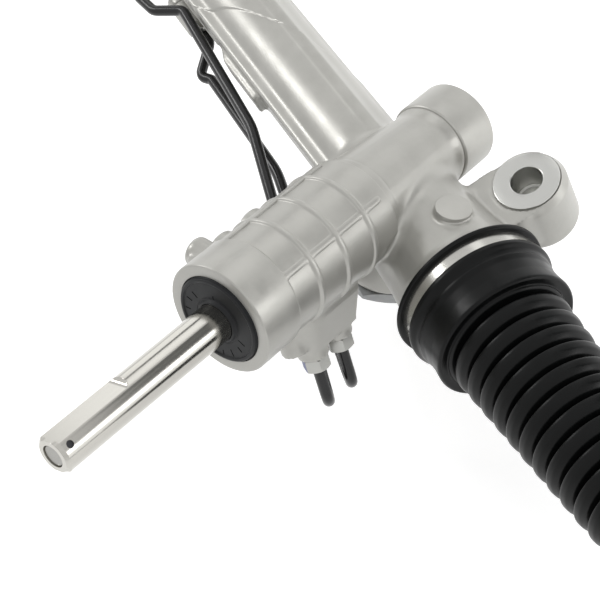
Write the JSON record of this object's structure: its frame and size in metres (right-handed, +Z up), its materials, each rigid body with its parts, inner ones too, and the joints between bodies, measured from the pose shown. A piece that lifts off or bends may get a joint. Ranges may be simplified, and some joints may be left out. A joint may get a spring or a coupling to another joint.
{
  "type": "steering rack",
  "caption": "Hydraulic rack-and-pinion steering gear: cast housing, leaning pinion with rotary valve, toothed rack, bellows and inner tie rods.",
  "frame": {"origin": "centre of the pinion-side mounting bore at its machined top face", "axes": "+X along the rack towards the pinion-side bellows, +Z up along the mounting bores, +Y from the rack towards the mounting bores"},
  "size_m": [1.211, 0.2654, 0.1755],
  "materials": {
    "cast_aluminium": "sand-grained die casting, matt",
    "machined_aluminium": "turned",
    "ground_steel": "ground, bright",
    "machined_steel": "turned and ground",
    "bearing_steel": "ground",
    "plug_steel": "zinc-coated, matt",
    "plated_steel": "zinc-plated",
    "band_steel": "stainless strip",
    "spring_steel": "hardened and tempered",
    "phosphated_steel": "phosphate-coated, dark grey",
    "coated_pipe": "black polymer-coated steel",
    "boot_rubber": "black moulded elastomer, satin",
    "seal_rubber": "black moulded rubber",
    "seal_plastic": "filled fluoropolymer",
    "seat_plastic": "natural acetal",
    "bush_plastic": "filled acetal",
    "liner_plastic": "bronze-filled fluoropolymer"
  },
  "bodies": {
    "housing": {"rack_housing": "cast_aluminium", "input_shaft_seal": "seal_rubber", "input_shaft_bearing": "bearing_steel", "pinion_upper_bearing": "bearing_steel", "pinion_lower_bearing": "bearing_steel", "lower_bearing_carrier": "machined_steel", "pinion_end_plug": "plug_steel", "rack_guide": "machined_aluminium", "guide_liner": "liner_plastic", "guide_spring": "spring_steel", "guide_plug": "machined_aluminium", "guide_lock_nut": "plug_steel", "inner_rack_seal": "seal_rubber", "outer_rack_seal": "seal_rubber", "rack_bush": "bush_plastic", "end_stop": "machined_aluminium", "transfer_pipe_near": "coated_pipe", "transfer_pipe_far": "coated_pipe", "pipe_nuts": "plated_steel", "boot_pinion_side": "boot_rubber", "boot_far_side": "boot_rubber", "boot_band_pinion_side": "band_steel", "boot_band_far_side": "band_steel"},
    "rack": {"rack_bar": "machined_steel", "piston": "machined_steel", "piston_ring": "seal_plastic", "socket_pinion_side": "phosphated_steel", "socket_far_side": "phosphated_steel", "ball_seats": "seat_plastic"},
    "pinion_assembly": {"pinion": "machined_steel", "pinion_nut": "plated_steel", "valve_sleeve": "machined_steel", "sleeve_rings": "seal_plastic"},
    "input": {"input_shaft": "ground_steel", "torsion_bar": "spring_steel", "torsion_pin": "phosphated_steel"},
    "boot_end_pinion_side": {"boot_clip_pinion_side": "plated_steel"},
    "boot_end_far_side": {"boot_clip_far_side": "plated_steel"},
    "rod_pinion_side": {"tie_rod_pinion_side": "phosphated_steel", "jam_nut_pinion_side": "plated_steel"},
    "rod_far_side": {"tie_rod_far_side": "phosphated_steel", "jam_nut_far_side": "plated_steel"}
  },
  "joints": [
    {"name": "rack_slide", "type": "slide", "parent": "housing", "child": "rack", "axis": [1, 0, 0], "range_m": [-0.075, 0.075], "deforming": ["boot_pinion_side", "boot_far_side"]},
    {"name": "pinion_spin", "type": "hinge", "parent": "housing", "child": "pinion_assembly", "pos_m": [-0.0437, -0.04462, 0.00634], "axis": [0.4043, -0.825, 0.3948], "range_deg": [-468, 468]},
    {"name": "input_twist", "type": "hinge", "parent": "pinion_assembly", "child": "input", "pos_m": [-0.0437, -0.04462, 0.00634], "axis": [0.4043, -0.825, 0.3948], "range_deg": [-4, 4], "stiffness_Nm_per_rad": 100},
    {"name": "ball_swing_pinion_side", "type": "hinge", "parent": "rack", "child": "boot_end_pinion_side", "pos_m": [0.1048, -0.0526, -0.01035], "axis": [0, 1, 0], "range_deg": [-18, 18], "deforming": ["boot_pinion_side"]},
    {"name": "ball_swing_far_side", "type": "hinge", "parent": "rack", "child": "boot_end_far_side", "pos_m": [-0.5262, -0.0526, -0.01035], "axis": [0, 1, 0], "range_deg": [-18, 18], "deforming": ["boot_far_side"]},
    {"name": "rod_spin_pinion_side", "type": "hinge", "parent": "boot_end_pinion_side", "child": "rod_pinion_side", "pos_m": [0.1048, -0.0526, -0.01035], "axis": [1, 0, 0], "continuous": true},
    {"name": "rod_spin_far_side", "type": "hinge", "parent": "boot_end_far_side", "child": "rod_far_side", "pos_m": [-0.5262, -0.0526, -0.01035], "axis": [1, 0, 0], "continuous": true}
  ],
  "couplings": [
    {"joint": "pinion_spin", "follows": "rack_slide", "rad_per_m": 108.88}
  ]
}
